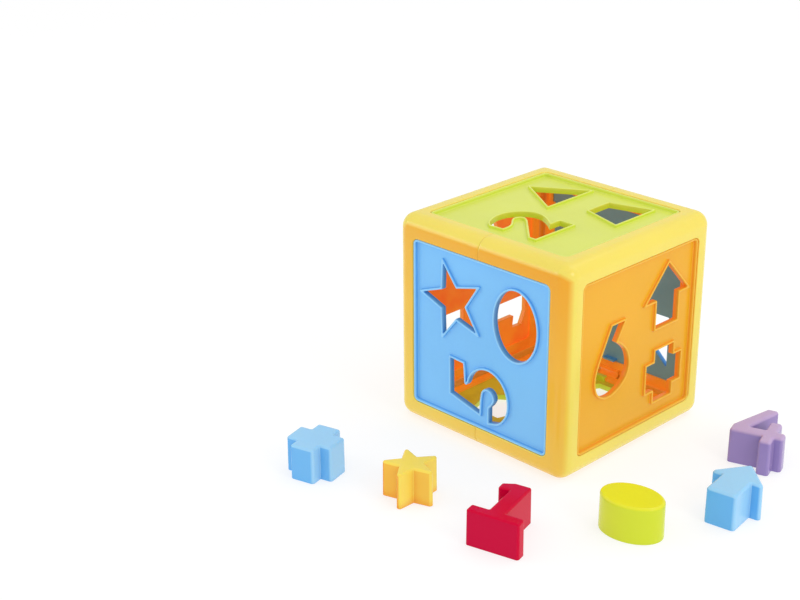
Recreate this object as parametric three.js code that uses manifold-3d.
// Shape sorter: a hollow cube of two clipped frame halves and six face panels
// (one of them a hinged door), with six loose hollow blocks laid out beside it.
// Millimetres, +Z up, front towards -Y. The set rests on z = 0 and is centred on its footprint.
import * as THREE from 'three';
import { mergeVertices } from 'three/addons/utils/BufferGeometryUtils.js';
import Module from 'manifold-3d';

const wasm = await Module();
wasm.setup();

// ---------------------------------------------------------------- dimensions
// Depths are measured inwards from a face of the cube.
const CUBE = 150;            // outer side of the cube
const HALF = CUBE / 2;
const EDGE_R = 10;           // outer edge rounding of the frame
const WALL = 2.5;            // frame wall

const WINDOW = 120;          // square window in each face
const WINDOW_R = 4.3;
const BOSS = 125;            // outside of the window wall
const BOSS_R = 6.5;
const BOSS_TOP = 1;
const LEDGE_TOP = 5.8;       // depth of the ledge that each panel sits on
const LEDGE_BOT = 8;
const LEDGE_OPEN = 114;      // clear opening inside the ledge
const LEDGE_R = 3;

const SEAM_X = -1;           // parting plane of the two frame halves
const SEAM_GAP = 0.3;
const LIP_IN = 4.8;          // radii of the locating lips in the bars that the seam crosses
const LIP_OUT = 7;
const LIP_ROOT = 0.9;        // extra thickness of a lip within the left half
const LIP_X0 = -9;           // ends of the lips
const LIP_X1 = 6;

const PANEL = 119.2;         // outside of a panel
const PANEL_R = 3.9;
const RIM_TOP = 0.5;         // depth of the raised rim of a panel
const RIM_W = 1.4;
const PLATE_TOP = 3.2;       // depth of the flat of a panel
const PLATE_BACK = 5.5;
const BEAD_TOP = 1.2;        // depth of the bead round each hole
const BEAD_W = 1.4;

const HOOK_IN = 55.1;        // snap hooks on the panel's back, out from the face centre
const HOOK_OUT = 56.7;
const HOOK_BARB = 58.3;
const HOOK_W = 10;
const HOOK_END = 10;         // depth of the hooks' ends
const BARB_ROOT = 0.6;       // how far a barb reaches into its hook
const BARB_GAP = 0.35;       // between a barb and the ledge

const DOOR_AXIS_V = 56.4;    // hinge axis of the door, up from the face centre
const DOOR_AXIS_D = 2;       // and its depth
const DOOR_TOP = 59.2;       // top edge of the door
const DOOR_R = 2.2;          // the door's corners at the hinge,
const DOOR_WINDOW_R = 2;     // and its window's there, so that it can swing clear
const HINGE_CUT = { halfWidth: 61, bottom: 50, top: 61, depth: 20 };   // ledge removed here
const TAB_NOTCH = { halfWidth: 7, bottom: -57.8, top: -50 };           // in the bottom ledge
const PIN = { radius: 1.1, start: 58.9, end: 62.2 };
const SOCKET = { radius: 1.4, start: 59, end: 63.2 };

const BLOCK_H = 24.6;        // height of the loose blocks
const BLOCK_WALL = 2;
const BLOCK_ROOF = 2.2;
const BLOCK_DRAFT = 0.2;     // how much wider each side is at the foot

const OVERLAP = 0.5;         // how far joined solids and stepped cuts run into each other
const CLEAR = 1;             // how far a cut runs past the surface it opens

const CURVE_STEPS = 4;       // segments between two points of a smooth outline
const FILLET_STEPS = 2;
const SHEET_STEPS = 3;       // segments in a corner of a window or panel
const EDGE_STEPS = 3;        // segments in each half of the frame's edge rounding
const LIP_STEPS = 3;
const BAR_SIDES = 12;

const YELLOW = 0xf7d75a;
const BLUE = 0x78b9f0;
const ORANGE = 0xf1b03a;
const LIME = 0xdde580;
const BLOCK_BLUE = 0x77bdf0;
const BLOCK_GOLD = 0xf6c83c;
const BLOCK_RED = 0xd41243;
const BLOCK_GREEN = 0xcfdc2e;
const BLOCK_PURPLE = 0xa988c4;
const CUBE_ROUGHNESS = 0.32;
const BLOCK_ROUGHNESS = 0.25;

// ---------------------------------------------------------------- outlines
const rad = THREE.MathUtils.degToRad;
const range = (count) => Array.from({ length: count }, (_, i) => i);

const star = ([x, y], outer, inner, turn) => range(10).map((i) => {
  const radius = i % 2 ? inner : outer;
  const angle = rad(turn + 36 * i);
  return [x + radius * Math.cos(angle), y + radius * Math.sin(angle)];
});

const ellipse = ([x, y], radiusX, radiusY, sides = 40) => range(sides).map((i) => {
  const angle = 2 * Math.PI * i / sides;
  return [x + radiusX * Math.cos(angle), y + radiusY * Math.sin(angle)];
});

const polygon = ([x, y], radius, sides, turn) => range(sides).map((i) => {
  const angle = rad(turn + 360 * i / sides);
  return [x + radius * Math.cos(angle), y + radius * Math.sin(angle)];
});

// Cross with arms of half length `reach` and half width `arm`.
const cross = ([centreX, centreY], reach, arm) => [
  [arm, reach], [-arm, reach], [-arm, arm], [-reach, arm], [-reach, -arm], [-arm, -arm],
  [-arm, -reach], [arm, -reach], [arm, -arm], [reach, -arm], [reach, arm], [arm, arm],
].map(([x, y]) => [centreX + x, centreY + y]);

// Points [x, y, f]: f = 1 is a corner, f = 0 lies on a smooth curve. The first is a corner.
function curved(points) {
  const count = points.length;
  const outline = [];
  let start = 0;
  while (start < count) {
    let end = start + 1;
    while (end < count && points[end][2] !== 1) end++;
    const run = [...points.slice(start, end), points[end % count]]
      .map(([x, y]) => new THREE.Vector3(x, y, 0));
    if (run.length === 2) {
      outline.push([run[0].x, run[0].y]);
    } else {
      const curve = new THREE.CatmullRomCurve3(run, false, 'centripetal');
      const steps = (run.length - 1) * CURVE_STEPS;
      for (let i = 0; i < steps; i++) {
        const { x, y } = curve.getPoint(i / steps);
        outline.push([x, y]);
      }
    }
    start = end;
  }
  return outline;
}

// Each point of a closed outline with the points before and after it.
const neighbours = (points) => points.map((point, i) => [
  points[(i + points.length - 1) % points.length], point, points[(i + 1) % points.length],
]);

const area = (points) => neighbours(points)
  .reduce((sum, [, here, next]) => sum + here[0] * next[1] - next[0] * here[1], 0) / 2;
const counterclockwise = (points) => (area(points) < 0 ? [...points].reverse() : points);

// Replaces each corner by an arc; `radii` is one radius or a list of one per corner.
function fillet(points, radii, steps = FILLET_STEPS) {
  return neighbours(counterclockwise(points)).flatMap(([before, corner, after], index) => {
    const wanted = Array.isArray(radii) ? radii[index] : radii;
    const back = [before[0] - corner[0], before[1] - corner[1]];
    const ahead = [after[0] - corner[0], after[1] - corner[1]];
    const backLength = Math.hypot(...back);
    const aheadLength = Math.hypot(...ahead);
    const cosine = (back[0] * ahead[0] + back[1] * ahead[1]) / (backLength * aheadLength);
    const halfAngle = Math.acos(Math.max(-1, Math.min(1, cosine))) / 2;

    // The arc takes up less than half of either side.
    const trim = Math.min(wanted / Math.tan(halfAngle), backLength * 0.45, aheadLength * 0.45);
    const radius = trim * Math.tan(halfAngle);
    const bisector = [0, 1].map((k) => back[k] / backLength + ahead[k] / aheadLength);
    const bisectorLength = Math.hypot(...bisector);
    const reach = radius / Math.sin(halfAngle);
    const centre = [0, 1].map((k) => corner[k] + bisector[k] / bisectorLength * reach);

    const angleTo = (side, length) => Math.atan2(
      corner[1] + side[1] / length * trim - centre[1],
      corner[0] + side[0] / length * trim - centre[0],
    );
    const start = angleTo(back, backLength);
    let sweep = angleTo(ahead, aheadLength) - start;
    while (sweep > Math.PI) sweep -= 2 * Math.PI;
    while (sweep < -Math.PI) sweep += 2 * Math.PI;
    return range(steps + 1).map((i) => {
      const angle = start + sweep * i / steps;
      return [centre[0] + radius * Math.cos(angle), centre[1] + radius * Math.sin(angle)];
    });
  });
}

function segmentDistance(point, start, end) {
  const dx = end[0] - start[0];
  const dy = end[1] - start[1];
  const along = (point[0] - start[0]) * dx + (point[1] - start[1]) * dy;
  const t = Math.max(0, Math.min(1, along / (dx * dx + dy * dy || 1)));
  return Math.hypot(point[0] - start[0] - t * dx, point[1] - start[1] - t * dy);
}

// Unit normal to the right of a segment: outwards on a counterclockwise outline.
function outwardNormal(start, end) {
  const length = Math.hypot(end[0] - start[0], end[1] - start[1]);
  return [(end[1] - start[1]) / length, -(end[0] - start[0]) / length];
}

// Moves the outline outwards (inwards if negative), with mitred corners.
function offset(points, distance) {
  const corners = neighbours(counterclockwise(points));
  return corners.map(([before, corner, after]) => {
    const normal = outwardNormal(before, corner);
    const nextNormal = outwardNormal(corner, after);
    const mitre = [normal[0] + nextNormal[0], normal[1] + nextNormal[1]];
    const length = Math.hypot(...mitre);
    // The floor limits the mitre at very sharp corners.
    const cosine = Math.max(0.28, (mitre[0] * normal[0] + mitre[1] * normal[1]) / length);
    const reach = distance / cosine;
    return [corner[0] + mitre[0] / length * reach, corner[1] + mitre[1] / length * reach];
  }).filter((moved) => {
    // Points that land too near the old outline would fold the new one over.
    const gaps = corners.map(([, corner, after]) => segmentDistance(moved, corner, after));
    return Math.min(...gaps) > Math.abs(distance) * 0.96;
  });
}

// Rounded rectangle whose upper corners may have a radius of their own.
function roundedRect(width, height, radius, upper = radius) {
  const x = width / 2;
  const y = height / 2;
  const corners = [[-x, -y], [x, -y], [x, y], [-x, y]];
  return fillet(corners, [radius, radius, upper, upper], SHEET_STEPS);
}

// ---------------------------------------------------------------- the holes
// Each in its face's own frame, [u, v]: u to the right and v up, seen from outside.
const HOLES = {
  front: [
    star([-24.7, 23.6], 27.1, 11.35, 180),
    ellipse([30.85, 22.9], 18.15, 24.45),
    curved([                                                      // five, on its side
      [-26, -16.9, 1], [-14.2, -17.5, 1], [-13.6, -22.3, 0], [-13.2, -28.2, 0],
      [-12.7, -31.4, 0], [-11.4, -32.3, 0], [-9.7, -30.5, 0], [-8.3, -26.6, 0],
      [-5.4, -22.2, 0], [-0.7, -18.4, 0], [6.2, -16.2, 0], [12.7, -17, 0],
      [18.7, -20.5, 0], [23.2, -26.3, 0], [25.2, -33.5, 0], [24.7, -40.9, 0],
      [21.7, -47.1, 0], [16.9, -51.4, 0], [9.4, -53.5, 1], [9.4, -42.9, 1],
      [12.2, -39.7, 0], [14, -35.8, 0], [12.9, -32, 0], [9.8, -29.6, 0],
      [6.2, -29.6, 0], [3.2, -31.9, 0], [1.8, -37.1, 0], [1, -49.6, 1], [-25.6, -42.9, 1],
    ]),
  ],
  right: [
    [                                                             // arrow
      [30, 49.8], [7.7, 26.2], [18.8, 26.2], [18.8, 5.6], [42.4, 5.6], [42.4, 26.2],
      [52.4, 26.2],
    ],
    cross([30.4, -29.9], 18.9, 10),
    curved([                                                      // six
      [-27.7, 22.2, 1], [-14.9, 22.2, 1], [-22.9, 9.4, 1], [-18.4, 6.4, 0],
      [-13, 1.6, 0], [-9.6, -4.9, 0], [-8.8, -12.1, 0], [-11.6, -18.9, 0],
      [-17.9, -24, 0], [-26.1, -26.9, 0], [-33.9, -26.2, 0], [-40.3, -21.4, 0],
      [-42.6, -13.8, 0], [-41.6, -6.6, 0], [-38.5, 1.1, 0], [-34.2, 9.5, 0],
    ]),
  ],
  top: [
    [[-47.9, 29.9], [-12.3, 7.3], [-12.3, 52.4]],                 // triangle
    [[12.7, 20], [42.8, 10.7], [42.8, 50.2], [12.7, 41.4]],       // trapezium
    curved([                                                      // two, on its side
      [22.8, -9, 1], [11.8, -9, 1], [11.8, -19.3, 1], [7.2, -15.7, 0],
      [2.3, -12.3, 0], [-3.1, -9.6, 0], [-9, -8.8, 0], [-14.7, -10.9, 0],
      [-19.5, -15.4, 0], [-23.2, -21.4, 0], [-24.2, -28.7, 0], [-22.7, -36.3, 0],
      [-19.3, -43.2, 0], [-14.9, -47.1, 1], [-5.1, -46.3, 1], [-5.6, -39.9, 0],
      [-8.4, -34.5, 0], [-12, -30, 0], [-13.6, -26, 0], [-12.2, -22.2, 0],
      [-8.8, -20.6, 0], [-5, -22.5, 0], [1.1, -28.5, 1], [18.2, -46.1, 1], [22.8, -46.1, 1],
    ]),
  ],
  left: [
    [[14, -47.5], [49.5, -47.5], [49.5, -12], [14, -12]],         // square
    ellipse([-3, 34.8], 18.4, 18.4),
    [                                                             // one, on its side
      [-4.1, -6.5], [-4.1, -48], [-14, -48], [-14, -34.6], [-39.7, -34.6], [-38.4, -43.9],
      [-48.6, -44.4], [-53, -35], [-53, -21], [-14, -21], [-14, -6.5],
    ],
  ],
  back: [
    [[-8, -10], [-48, -10], [-48, -48]],                          // triangle
    curved([                                                      // half disc
      [-24, 16, 1], [24, 16, 1], [23.2, 23.6, 0], [19.6, 31.2, 0], [13.4, 37, 0],
      [6.6, 39.8, 0], [0, 40.5, 0], [-6.6, 39.8, 0], [-13.4, 37, 0], [-19.6, 31.2, 0],
      [-23.2, 23.6, 0],
    ]),
    curved([                                                      // three
      [18.7, -12.7, 1], [23.4, -7.4, 0], [30, -5.5, 0], [38.8, -9.2, 0], [42.5, -18, 0],
      [40.6, -24.6, 0], [37.3, -28.2, 1], [42.2, -33.6, 0], [43.5, -39.5, 0],
      [39.5, -49, 0], [30, -53, 0], [22.9, -50.9, 0], [17.8, -45.2, 1], [26.8, -41, 1],
      [30, -43, 0], [33.5, -39.5, 0], [30, -36, 0], [25.4, -35.8, 1], [25.4, -24.4, 1],
      [30, -21, 0], [33, -18, 0], [30, -15, 0], [27.3, -16.7, 1],
    ]),
  ],
  bottom: [
    polygon([14, -34.2], 20.5, 6, 0),
    polygon([-24, 24], 20, 5, -90),
    [                                                             // four
      [8.4, 13.1], [29.9, 13.1], [29.9, 4.7], [39.45, 4.7], [39.45, 13.1], [45.35, 13.1],
      [45.35, 23.45], [39.65, 23.45], [39.65, 36.45], [30.2, 36.45], [30.2, 24.05],
      [21.45, 24.05], [33.95, 53.8], [23.72, 53.8], [8.4, 22.91],
    ],
  ],
};

// ---------------------------------------------------------------- the blocks
// outline: [x, y] in the block's own frame, seen from above; round: corner radii;
// at: its place measured from the cube's centre; turn: degrees about Z.
const BLOCKS = {
  block_cross: {
    outline: cross([0, 0], 17.2, 8.7),
    round: 1.3,
    at: [-53.3, -171.4], turn: 15.2, colour: BLOCK_BLUE,
  },
  block_star: {
    outline: star([0, 0], 21.5, 8.72, 0),
    round: 1.4,
    at: [14.8, -151.5], turn: 0.8, colour: BLOCK_GOLD,
  },
  block_one: {
    outline: [
      [0, 0], [35.7, 0], [35.7, 7.7], [23, 7.7], [22.3, 43.3], [11.2, 43.3], [3.55, 39.5],
      [3.85, 32.9], [11.7, 34.1], [11.9, 7.7], [0, 7.7],
    ],
    round: [1.2, 1.2, 1.2, 0.6, 1.4, 1.6, 1.6, 1.2, 0.6, 2.6, 1.2],
    at: [79.1, -169.5], turn: 13.95, colour: BLOCK_RED,
  },
  block_ellipse: {
    outline: ellipse([0, 0], 20.9, 15, 36),
    at: [139.6, -86.35], turn: 10.5, colour: BLOCK_GREEN,
  },
  block_arrow: {
    outline: [
      [-10.1, 0], [10.1, 0], [10.1, 20.9], [19, 20.9], [0, 42.9], [-19, 20.9], [-10.1, 20.9],
    ],
    round: [1.4, 1.4, 0.8, 1.4, 1.6, 1.4, 0.8],
    at: [174.9, -45.35], turn: 8, colour: BLOCK_BLUE,
  },
  block_four: {
    outline: [
      [0, 0], [0, -8.4], [8.15, -8.4], [8.15, 0], [14.05, 0], [14.05, 8.95], [8.35, 8.95],
      [8.35, 21.95], [0.3, 21.95], [0.3, 9.55], [-10.2, 9.55], [2.3, 39.3], [-6.45, 39.3],
      [-21.5, 8.95], [-21.5, 0],
    ],
    round: [0.5, 1.3, 1.3, 0.5, 1.3, 1.3, 0.5, 1.3, 1.3, 0.5, 0.5, 1.4, 1.4, 2.2, 1.4],
    at: [151, 34.3], turn: 18.2, colour: BLOCK_PURPLE,
  },
};

// ---------------------------------------------------------------- solids
const manifold = (positions, triangles) => new wasm.Manifold(new wasm.Mesh({
  numProp: 3,
  vertProperties: new Float32Array(positions),
  triVerts: new Uint32Array(triangles),
}));

function solid(geometry, tolerance = 1e-4) {
  geometry.deleteAttribute('normal');
  geometry.deleteAttribute('uv');
  const merged = mergeVertices(geometry, tolerance);
  return manifold(merged.attributes.position.array, merged.index.array);
}

const vectors = (points) => points.map(([x, y]) => new THREE.Vector2(x, y));

function extrude(points, z0, z1) {
  const shape = new THREE.Shape(vectors(counterclockwise(points)));
  const options = { depth: z1 - z0, bevelEnabled: false, steps: 1 };
  return solid(new THREE.ExtrudeGeometry(shape, options).translate(0, 0, z0));
}

// Between two outlines with the same number of points, one at z0 and one at z1.
function taper(foot, top, z0, z1) {
  const lower = counterclockwise(foot);
  const upper = counterclockwise(top);
  const count = lower.length;
  const positions = [...lower.map(([x, y]) => [x, y, z0]), ...upper.map(([x, y]) => [x, y, z1])];
  const triangles = [];
  for (let i = 0; i < count; i++) {
    const j = (i + 1) % count;
    triangles.push(i, j, count + j, i, count + j, count + i);
  }
  const cap = (ring) => THREE.ShapeUtils.triangulateShape(vectors(ring), []);
  for (const [i, j, k] of cap(lower)) triangles.push(i, k, j);
  for (const [i, j, k] of cap(upper)) triangles.push(count + i, count + j, count + k);
  return manifold(positions.flat(), triangles);
}

function box(x0, x1, y0, y1, z0, z1) {
  const geometry = new THREE.BoxGeometry(x1 - x0, y1 - y0, z1 - z0);
  return solid(geometry.translate((x0 + x1) / 2, (y0 + y1) / 2, (z0 + z1) / 2));
}

// Round bar along X; side = 1 or -1 puts it at +X or -X.
function hingeBar({ radius, start, end }, side, y, z) {
  const geometry = new THREE.CylinderGeometry(radius, radius, end - start, BAR_SIDES);
  geometry.rotateZ(Math.PI / 2);
  return solid(geometry.translate(side * (start + end) / 2, y, z));
}

// Box with every edge and corner rounded: each side is a grid whose outer bands
// are pushed out to the radius and meet those of the next side.
function roundedBox(size, radius) {
  const flat = size / 2 - radius;
  const count = 2 * (EDGE_STEPS + 1);
  const grid = range(count).map((k) => {
    const negative = k <= EDGE_STEPS;
    const step = negative ? k - EDGE_STEPS : k - EDGE_STEPS - 1;
    return { side: negative ? -1 : 1, slope: Math.tan(step / EDGE_STEPS * Math.PI / 4) };
  });
  const positions = [];
  const triangles = [];
  for (const [uAxis, vAxis, wAxis] of [[0, 1, 2], [1, 2, 0], [2, 0, 1]]) {
    for (const sign of [1, -1]) {
      const base = positions.length / 3;
      for (const u of grid) for (const v of grid) {
        const length = Math.hypot(u.slope, v.slope, sign);
        const point = [];
        point[uAxis] = u.side * flat + u.slope / length * radius;
        point[vAxis] = v.side * flat + v.slope / length * radius;
        point[wAxis] = sign * flat + sign / length * radius;
        positions.push(...point);
      }
      for (let i = 0; i < count - 1; i++) for (let j = 0; j < count - 1; j++) {
        const a = base + i * count + j;
        const b = a + count;
        if (sign > 0) triangles.push(a, b, a + 1, b, b + 1, a + 1);
        else triangles.push(a, a + 1, b, b, a + 1, b + 1);
      }
    }
  }
  const geometry = new THREE.BufferGeometry();
  geometry.setAttribute('position', new THREE.Float32BufferAttribute(positions, 3));
  geometry.setIndex(triangles);
  return solid(geometry, 1e-3);
}

// Face frames [u, v, w]: u right and v up seen from outside, w outwards,
// origin on the face's centre.
const FACES = {
  front: [[1, 0, 0], [0, 0, 1], [0, -1, 0]],
  right: [[0, 1, 0], [0, 0, 1], [1, 0, 0]],
  top: [[1, 0, 0], [0, 1, 0], [0, 0, 1]],
  left: [[0, -1, 0], [0, 0, 1], [-1, 0, 0]],
  back: [[-1, 0, 0], [0, 0, 1], [0, 1, 0]],
  bottom: [[1, 0, 0], [0, -1, 0], [0, 0, -1]],
};

function faceMatrix(face) {
  const [u, v, w] = FACES[face].map((axis) => new THREE.Vector3(...axis));
  return new THREE.Matrix4().makeBasis(u, v, w).setPosition(w.clone().multiplyScalar(HALF));
}
const onFace = (part, face) => part.transform(faceMatrix(face).elements);

// ---------------------------------------------------------------- frame
// A quarter of a ring along X, inside the rounded edge on the sides given by the two signs.
function edgeLip(x0, x1, inner, outer, signY, signZ) {
  const centre = HALF - EDGE_R;
  const arc = (radius) => range(LIP_STEPS + 1).map((i) => {
    const angle = i * Math.PI / 2 / LIP_STEPS;
    return [
      signY * (centre + radius * Math.cos(angle)),
      signZ * (centre + radius * Math.sin(angle)),
    ];
  });
  const [X, Y, Z] = [[1, 0, 0], [0, 1, 0], [0, 0, 1]].map((axis) => new THREE.Vector3(...axis));
  const alongX = new THREE.Matrix4().makeBasis(Y, Z, X);
  return extrude([...arc(outer), ...arc(inner).reverse()], x0, x1).transform(alongX.elements);
}

const windowOutline = (face) => (
  roundedRect(WINDOW, WINDOW, WINDOW_R, face === 'back' ? DOOR_WINDOW_R : WINDOW_R));

// The door's window has no ledge along the hinge, a notch in the ledge at the
// bottom, and sockets for its two pins.
function cutDoorway(frame) {
  const bottom = -LEDGE_BOT - CLEAR;
  const top = -LEDGE_TOP + OVERLAP;
  const { halfWidth, depth } = HINGE_CUT;
  const hingeStrip = box(-halfWidth, halfWidth, HINGE_CUT.bottom, HINGE_CUT.top, -depth, 0);
  const hingeCut = extrude(windowOutline('back'), bottom, top).intersect(hingeStrip);
  const notchX = TAB_NOTCH.halfWidth;
  const notch = box(-notchX, notchX, TAB_NOTCH.bottom, TAB_NOTCH.top, bottom, top);
  let cut = frame.subtract(onFace(hingeCut, 'back')).subtract(onFace(notch, 'back'));
  for (const side of [-1, 1]) {
    cut = cut.subtract(hingeBar(SOCKET, side, HALF - DOOR_AXIS_D, DOOR_AXIS_V));
  }
  return cut;
}

function buildFrame() {
  const faces = Object.keys(FACES);
  let frame = roundedBox(CUBE, EDGE_R).subtract(roundedBox(CUBE - 2 * WALL, EDGE_R - WALL));
  const boss = extrude(roundedRect(BOSS, BOSS, BOSS_R), -LEDGE_BOT, -BOSS_TOP);
  for (const face of faces) frame = frame.add(onFace(boss, face));
  const opening = extrude(
    roundedRect(LEDGE_OPEN, LEDGE_OPEN, LEDGE_R), -LEDGE_BOT - CLEAR, -LEDGE_TOP + OVERLAP);
  for (const face of faces) {
    frame = frame.subtract(onFace(extrude(windowOutline(face), -LEDGE_TOP, CLEAR), face));
    frame = frame.subtract(onFace(opening, face));
  }
  frame = cutDoorway(frame);

  const leftEnd = SEAM_X - SEAM_GAP / 2;
  const rightEnd = SEAM_X + SEAM_GAP / 2;
  let left = frame.intersect(box(-CUBE, leftEnd, -CUBE, CUBE, -CUBE, CUBE));
  const right = frame.intersect(box(rightEnd, CUBE, -CUBE, CUBE, -CUBE, CUBE));
  // Curved lips that locate one half in the other, one inside each bar that the seam crosses.
  for (const signY of [-1, 1]) for (const signZ of [-1, 1]) {
    left = left.add(edgeLip(LIP_X0, leftEnd, LIP_IN, LIP_OUT + LIP_ROOT, signY, signZ));
    left = left.add(edgeLip(LIP_X0, LIP_X1, LIP_IN, LIP_OUT, signY, signZ));
  }
  return { left, right };
}

// ---------------------------------------------------------------- panels
// Box of the hooks' width on a panel's back, from v0 to v1 and down to the hooks' ends.
const backTab = (v0, v1, top) => box(-HOOK_W / 2, HOOK_W / 2, v0, v1, -HOOK_END, top);

// Friction tab at the bottom and two pins that turn in the frame's sockets.
function addDoorFittings(panel) {
  let fitted = panel.add(backTab(-HOOK_OUT, -HOOK_IN, -PLATE_BACK + OVERLAP));
  for (const side of [-1, 1]) {
    fitted = fitted.add(hingeBar(PIN, side, DOOR_AXIS_V, -DOOR_AXIS_D));
  }
  return fitted;
}

// A barbed snap hook at the top and one at the bottom.
function addHooks(panel) {
  const stemTop = -PLATE_BACK + OVERLAP;
  const barbTop = -LEDGE_BOT - BARB_GAP;
  const barbIn = HOOK_OUT - BARB_ROOT;
  const upper = backTab(HOOK_IN, HOOK_OUT, stemTop).add(backTab(barbIn, HOOK_BARB, barbTop));
  const lower = backTab(-HOOK_OUT, -HOOK_IN, stemTop).add(backTab(-HOOK_BARB, -barbIn, barbTop));
  return panel.add(upper).add(lower);
}

function buildPanel(face) {
  const door = face === 'back';
  const top = door ? DOOR_TOP : PANEL / 2;
  const upperRadius = door ? DOOR_R : PANEL_R;
  const height = PANEL / 2 + top;
  const shift = (top - PANEL / 2) / 2;
  const sheet = (inset, z0, z1) => {
    const outline = roundedRect(
      PANEL - 2 * inset, height - 2 * inset, PANEL_R - inset, upperRadius - inset);
    return extrude(outline.map(([x, y]) => [x, y + shift]), z0, z1);
  };
  const rim = sheet(0, -PLATE_TOP - OVERLAP, -RIM_TOP)
    .subtract(sheet(RIM_W, -PLATE_TOP - CLEAR, CLEAR));
  let panel = sheet(0, -PLATE_BACK, -PLATE_TOP).add(rim);
  for (const hole of HOLES[face]) {
    panel = panel.add(extrude(offset(hole, BEAD_W), -PLATE_TOP - OVERLAP, -BEAD_TOP));
  }
  for (const hole of HOLES[face]) {
    panel = panel.subtract(extrude(hole, -PLATE_BACK - CLEAR, CLEAR));
  }
  return door ? addDoorFittings(panel) : addHooks(panel);
}

// ---------------------------------------------------------------- blocks
// A moulded shell, open underneath and a little wider at its foot.
function buildBlock({ outline, round }) {
  const rounded = (points) => (round ? fillet(points, round) : points);
  const outer = taper(rounded(offset(outline, BLOCK_DRAFT)), rounded(outline), 0, BLOCK_H);
  return outer.subtract(extrude(offset(outline, -BLOCK_WALL), -CLEAR, BLOCK_H - BLOCK_ROOF));
}

// ---------------------------------------------------------------- assembly
function toMesh(name, part, color, roughness) {
  const { vertProperties, triVerts } = part.getMesh();
  const geometry = new THREE.BufferGeometry();
  geometry.setAttribute('position', new THREE.BufferAttribute(new Float32Array(vertProperties), 3));
  geometry.setIndex(new THREE.BufferAttribute(new Uint32Array(triVerts), 1));
  geometry.computeVertexNormals();
  const material = new THREE.MeshStandardMaterial({ color, roughness, metalness: 0 });
  const mesh = new THREE.Mesh(geometry, material);
  mesh.name = name;
  return mesh;
}

// [mesh name, face, colour]
const PANELS = [
  ['panel_front', 'front', BLUE],
  ['panel_right', 'right', ORANGE],
  ['panel_top', 'top', LIME],
  ['panel_left', 'left', ORANGE],
  ['panel_bottom', 'bottom', LIME],
  ['door_back', 'back', BLUE],
];

// Everything is placed from the cube's centre first.
const pieces = new THREE.Group();
const { left, right } = buildFrame();
pieces.add(
  toMesh('frame_half_left', left, YELLOW, CUBE_ROUGHNESS),
  toMesh('frame_half_right', right, YELLOW, CUBE_ROUGHNESS),
);
for (const [name, face, colour] of PANELS) {
  const panel = toMesh(name, buildPanel(face), colour, CUBE_ROUGHNESS);
  panel.applyMatrix4(faceMatrix(face));
  pieces.add(panel);
}
for (const [name, block] of Object.entries(BLOCKS)) {
  const mesh = toMesh(name, buildBlock(block), block.colour, BLOCK_ROUGHNESS);
  mesh.position.set(...block.at, -HALF);
  mesh.rotation.z = rad(block.turn);
  pieces.add(mesh);
}

// Origin: the middle of the set's footprint, on the surface it rests on.
pieces.updateMatrixWorld(true);
const { min, max } = new THREE.Box3().setFromObject(pieces, true);
pieces.position.set(-(min.x + max.x) / 2, -(min.y + max.y) / 2, -min.z);

const set = new THREE.Group();
set.add(pieces);
set.updateMatrixWorld(true);
export default set;
